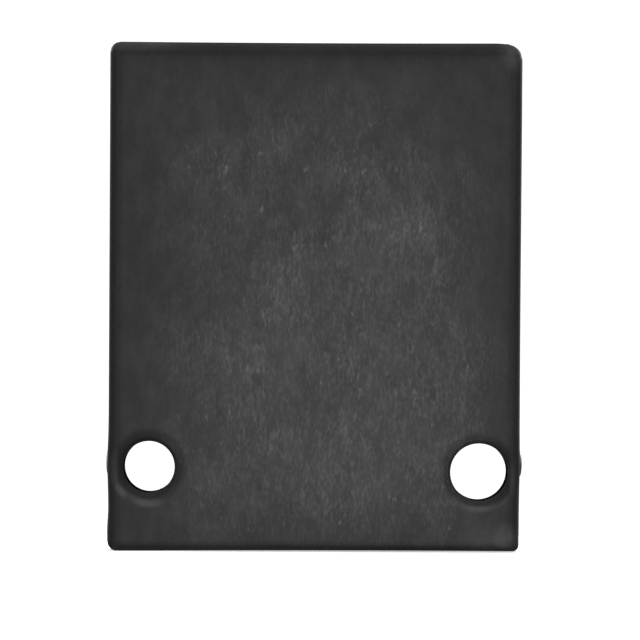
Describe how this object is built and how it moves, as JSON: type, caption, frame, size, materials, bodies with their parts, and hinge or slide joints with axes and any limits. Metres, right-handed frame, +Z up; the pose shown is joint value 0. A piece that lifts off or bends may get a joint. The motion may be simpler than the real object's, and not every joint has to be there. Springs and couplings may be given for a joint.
{
  "type": "fence post cap",
  "caption": "Deep box-shaped sheet-steel cap that slides over a square fence post and is clamped by two bolts passing beside the post.",
  "frame": {"origin": "middle of the open bottom rim, in the plane that the rim stands on", "axes": "+Z up the post to the closed top, -Y out of the front face, +X to the right of somebody facing the front face"},
  "size_m": [0.1056, 0.077, 0.1288],
  "materials": {
    "shell_coating": "satin black coating, lightly scuffed with fine vertical marks",
    "rivet_metal": "dull plated steel"
  },
  "bodies": {
    "root": {"front_shell": "shell_coating", "rear_shell": "shell_coating", "side_rivet_left": "rivet_metal", "side_rivet_right": "rivet_metal", "top_rivet_left": "rivet_metal", "top_rivet_right": "rivet_metal"}
  },
  "joints": []
}
